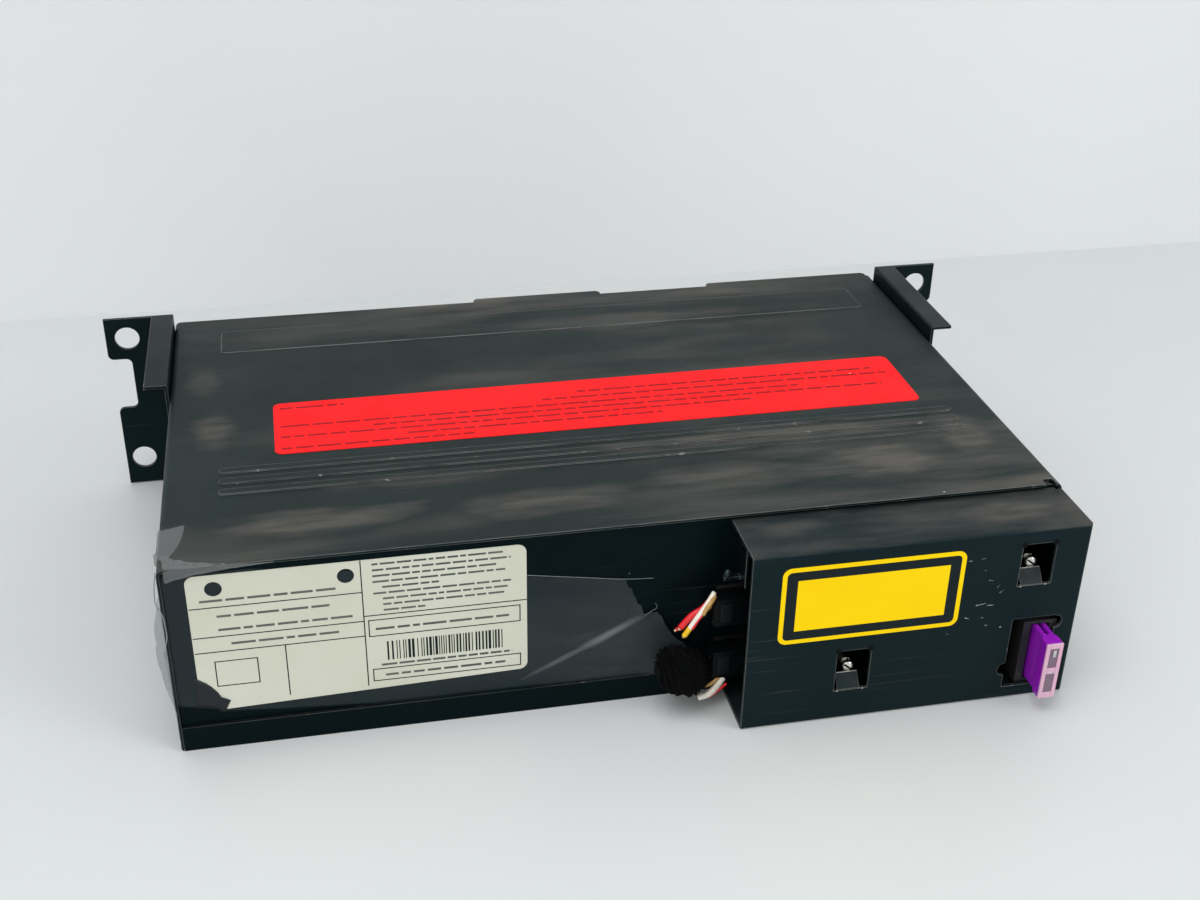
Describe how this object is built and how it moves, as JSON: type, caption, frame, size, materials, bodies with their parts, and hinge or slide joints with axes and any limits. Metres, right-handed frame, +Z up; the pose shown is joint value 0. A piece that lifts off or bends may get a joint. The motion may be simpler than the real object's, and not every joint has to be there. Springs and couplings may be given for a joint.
{
  "type": "car disc changer",
  "caption": "Flat boot-mounted disc changer with a slide-out tray magazine, a lifting playing deck, a rear plug shield and two bolt-on side brackets.",
  "frame": {"origin": "middle of the underside of the case, where it rests", "axes": "+X along the case towards the magazine side, +Y towards the front where the magazine goes in, +Z up"},
  "size_m": [0.304, 0.1924, 0.0652],
  "materials": {
    "top_cover": "black stove paint, dusty and scuffed",
    "floor_pan": "black stove paint",
    "rear_wall": "black stove paint",
    "rear_shield": "black stove paint, fine scratches",
    "latch_posts": "turned, zinc plated",
    "bracket_left": "black stove paint",
    "bracket_right": "black stove paint",
    "bracket_screws": "black zinc",
    "cover_screws": "black zinc",
    "front_bezel": "fine moulded grain",
    "magazine_door": "fine moulded grain",
    "eject_button": "satin",
    "button_spring": "spring wire",
    "red_label": "film label, satin",
    "rating_label": "film label, satin",
    "yellow_label": "film label, satin",
    "fuse_holder": "moulded",
    "blade_fuse": "clear violet moulding",
    "sockets": "moulded",
    "plugs": "moulded",
    "cut_wires": "wire covering",
    "wire_tails": "wire covering",
    "loom_wrap": "cloth tape, frayed",
    "plug_board": "green board",
    "main_board": "green board",
    "board_parts": "moulded",
    "flat_cable": "ribbon",
    "dampers": "soft",
    "suspension_coils": "spring wire",
    "float_frame": "zinc plated sheet",
    "magazine_slides": "natural white moulding",
    "eject_lever": "zinc plated",
    "eject_spring": "spring wire",
    "lift_motor": "plated can",
    "lift_screw": "turned",
    "cam_plate": "zinc plated",
    "deck_plate": "zinc plated",
    "guide_rods": "ground",
    "spindle_motor": "plated can",
    "sled_motor": "plated can",
    "turntable": "moulded",
    "pickup_sled": "moulded",
    "lens": "coated",
    "sled_screw": "turned",
    "tray_puller": "natural white moulding",
    "clamp_arm": "zinc plated",
    "clamp_puck": "moulded",
    "magazine_case": "satin",
    "tray_1": "satin",
    "disc_1": "silvered disc",
    "tray_2": "satin",
    "disc_2": "silvered disc",
    "tray_3": "satin",
    "disc_3": "silvered disc",
    "tray_4": "satin",
    "disc_4": "silvered disc",
    "tray_5": "satin",
    "disc_5": "silvered disc",
    "tray_6": "satin",
    "disc_6": "silvered disc"
  },
  "bodies": {
    "case": {"top_cover": "top_cover", "floor_pan": "floor_pan", "rear_wall": "rear_wall", "rear_shield": "rear_shield", "latch_posts": "latch_posts", "bracket_left": "bracket_left", "bracket_right": "bracket_right", "bracket_screws": "bracket_screws", "cover_screws": "cover_screws", "front_bezel": "front_bezel", "button_spring": "button_spring", "red_label": "red_label", "rating_label": "rating_label", "yellow_label": "yellow_label", "fuse_holder": "fuse_holder", "sockets": "sockets", "plugs": "plugs", "cut_wires": "cut_wires", "wire_tails": "wire_tails", "loom_wrap": "loom_wrap", "plug_board": "plug_board", "main_board": "main_board", "board_parts": "board_parts", "flat_cable": "flat_cable", "dampers": "dampers", "suspension_coils": "suspension_coils", "float_frame": "float_frame", "magazine_slides": "magazine_slides", "eject_spring": "eject_spring", "lift_motor": "lift_motor"},
    "door": {"magazine_door": "magazine_door"},
    "button": {"eject_button": "eject_button"},
    "fuse": {"blade_fuse": "blade_fuse"},
    "magazine": {"magazine_case": "magazine_case"},
    "ejector": {"eject_lever": "eject_lever"},
    "deck": {"deck_plate": "deck_plate", "guide_rods": "guide_rods", "spindle_motor": "spindle_motor", "sled_motor": "sled_motor"},
    "platter": {"turntable": "turntable"},
    "sled": {"pickup_sled": "pickup_sled", "lens": "lens"},
    "sled_drive": {"sled_screw": "sled_screw"},
    "puller": {"tray_puller": "tray_puller"},
    "clamp": {"clamp_arm": "clamp_arm", "clamp_puck": "clamp_puck"},
    "cam": {"cam_plate": "cam_plate"},
    "lift_drive": {"lift_screw": "lift_screw"},
    "disc_tray_1": {"tray_1": "tray_1", "disc_1": "disc_1"},
    "disc_tray_2": {"tray_2": "tray_2", "disc_2": "disc_2"},
    "disc_tray_3": {"tray_3": "tray_3", "disc_3": "disc_3"},
    "disc_tray_4": {"tray_4": "tray_4", "disc_4": "disc_4"},
    "disc_tray_5": {"tray_5": "tray_5", "disc_5": "disc_5"},
    "disc_tray_6": {"tray_6": "tray_6", "disc_6": "disc_6"}
  },
  "joints": [
    {"name": "door_slide", "type": "slide", "parent": "case", "child": "door", "axis": [-1, 0, 0], "range_m": [-0.125, 0]},
    {"name": "magazine_slide", "type": "slide", "parent": "case", "child": "magazine", "axis": [0, 1, 0], "range_m": [0, 0.133]},
    {"name": "tray_slide_1", "type": "slide", "parent": "magazine", "child": "disc_tray_1", "axis": [-1, 0, 0], "range_m": [0, 0.118]},
    {"name": "tray_slide_2", "type": "slide", "parent": "magazine", "child": "disc_tray_2", "axis": [-1, 0, 0], "range_m": [0, 0.118]},
    {"name": "tray_slide_3", "type": "slide", "parent": "magazine", "child": "disc_tray_3", "axis": [-1, 0, 0], "range_m": [0, 0.118]},
    {"name": "tray_slide_4", "type": "slide", "parent": "magazine", "child": "disc_tray_4", "axis": [-1, 0, 0], "range_m": [0, 0.118]},
    {"name": "tray_slide_5", "type": "slide", "parent": "magazine", "child": "disc_tray_5", "axis": [-1, 0, 0], "range_m": [0, 0.118]},
    {"name": "tray_slide_6", "type": "slide", "parent": "magazine", "child": "disc_tray_6", "axis": [-1, 0, 0], "range_m": [0, 0.118]},
    {"name": "eject_press", "type": "slide", "parent": "case", "child": "button", "axis": [0, -1, 0], "range_m": [0, 0.0018], "stiffness_N_per_m": 250, "springref_m": -0.003, "deforming": ["button_spring"]},
    {"name": "fuse_pull", "type": "slide", "parent": "case", "child": "fuse", "axis": [0, -1, 0], "range_m": [0, 0.013]},
    {"name": "deck_lift", "type": "slide", "parent": "case", "child": "deck", "axis": [0, 0, 1], "range_m": [0, 0.0261]},
    {"name": "cam_slide", "type": "slide", "parent": "case", "child": "cam", "axis": [-1, 0, 0], "range_m": [0, 0.0264]},
    {"name": "lift_screw_turn", "type": "hinge", "parent": "case", "child": "lift_drive", "pos_m": [-0.06, 0.0684, 0.0072], "axis": [1, 0, 0], "range_deg": [0, 1205]},
    {"name": "clamp_swing", "type": "hinge", "parent": "case", "child": "clamp", "pos_m": [-0.119, 0.0122, 0.0552], "axis": [0, 1, 0], "range_deg": [0, 1.9]},
    {"name": "ejector_swing", "type": "hinge", "parent": "case", "child": "ejector", "pos_m": [0.112, -0.063, 0.022], "axis": [0, 0, -1], "range_deg": [0, 30.2]},
    {"name": "platter_spin", "type": "hinge", "parent": "deck", "child": "platter", "pos_m": [-0.0556, 0.0122, 0.02], "axis": [0, 0, 1], "continuous": true},
    {"name": "sled_slide", "type": "slide", "parent": "deck", "child": "sled", "axis": [0, -1, 0], "range_m": [0, 0.0325]},
    {"name": "sled_screw_turn", "type": "hinge", "parent": "deck", "child": "sled_drive", "pos_m": [-0.0356, -0.02, 0.0106], "axis": [0, -1, 0], "range_deg": [0, 1490]},
    {"name": "puller_slide", "type": "slide", "parent": "deck", "child": "puller", "axis": [-1, 0, 0], "range_m": [0, 0.118]}
  ],
  "couplings": [
    {"joint": "lift_screw_turn", "follows": "deck_lift", "rad_per_m": 785.4},
    {"joint": "cam_slide", "follows": "deck_lift", "ratio": 1},
    {"joint": "clamp_swing", "follows": "deck_lift", "rad_per_m": 1.2037},
    {"joint": "ejector_swing", "follows": "magazine_slide", "rad_per_m": 3.9368},
    {"joint": "sled_screw_turn", "follows": "sled_slide", "rad_per_m": 785.4}
  ]
}
